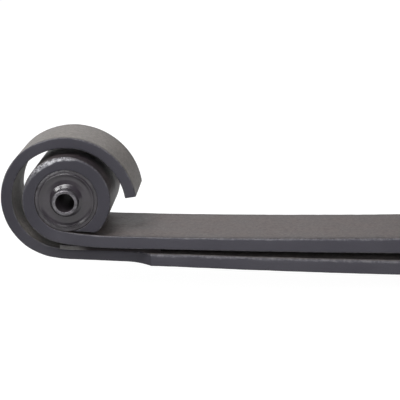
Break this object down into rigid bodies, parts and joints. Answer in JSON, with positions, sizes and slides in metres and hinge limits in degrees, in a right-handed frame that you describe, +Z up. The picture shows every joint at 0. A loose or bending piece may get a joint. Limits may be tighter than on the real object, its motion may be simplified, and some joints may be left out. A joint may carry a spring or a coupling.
{
  "type": "leaf spring",
  "caption": "Two-leaf taper leaf spring with rolled eyes, a loose military wrap round the front eye, rubber bushings, centre bolt and rebound clips.",
  "frame": {"origin": "on the centre bolt's axis, in the lower seat face of the second leaf", "axes": "+X from the wrapped front eye towards the rear eye, +Y across the leaves, +Z up out of the seat"},
  "size_m": [1.3856, 0.138, 0.1696],
  "materials": {
    "leaf_steel": "dark blue-grey painted spring steel, browner on the wide faces, slightly mottled, satin",
    "liner_steel": "thin grey-brown steel strip, dull",
    "bush_rubber": "dark smooth moulded rubber, semi-gloss",
    "sleeve_steel": "dark turned steel tube, satin, brighter on the edges",
    "strap_steel": "dark painted forged strap, satin",
    "fastener_steel": "dark phosphate-coated steel, satin"
  },
  "bodies": {
    "spring_pack": {"main_leaf": "leaf_steel", "wrapper_leaf": "leaf_steel", "front_tip_liner": "liner_steel", "rear_tip_liner": "liner_steel", "centre_spacer": "leaf_steel", "centre_bolt": "fastener_steel", "centre_nut": "fastener_steel", "front_bush_outer_sleeve": "sleeve_steel", "front_bush_rubber": "bush_rubber", "rear_bush_outer_sleeve": "sleeve_steel", "rear_bush_rubber": "bush_rubber", "front_clip_strap": "strap_steel", "front_clip_rivet": "fastener_steel", "front_clip_bolt": "fastener_steel", "front_clip_spacer_tube": "fastener_steel", "front_clip_nut": "fastener_steel", "rear_clip_strap": "strap_steel", "rear_clip_rivet": "fastener_steel", "rear_clip_bolt": "fastener_steel", "rear_clip_spacer_tube": "fastener_steel", "rear_clip_nut": "fastener_steel"},
    "front_inner_sleeve": {"front_bush_inner_sleeve": "sleeve_steel"},
    "rear_inner_sleeve": {"rear_bush_inner_sleeve": "sleeve_steel"}
  },
  "joints": [
    {"name": "front_bush_twist", "type": "hinge", "parent": "spring_pack", "child": "front_inner_sleeve", "pos_m": [-0.635, 0, 0.09312], "axis": [0, 1, 0], "range_deg": [-20, 20], "stiffness_Nm_per_rad": 150},
    {"name": "rear_bush_twist", "type": "hinge", "parent": "spring_pack", "child": "rear_inner_sleeve", "pos_m": [0.635, 0, 0.09312], "axis": [0, 1, 0], "range_deg": [-20, 20], "stiffness_Nm_per_rad": 150}
  ]
}
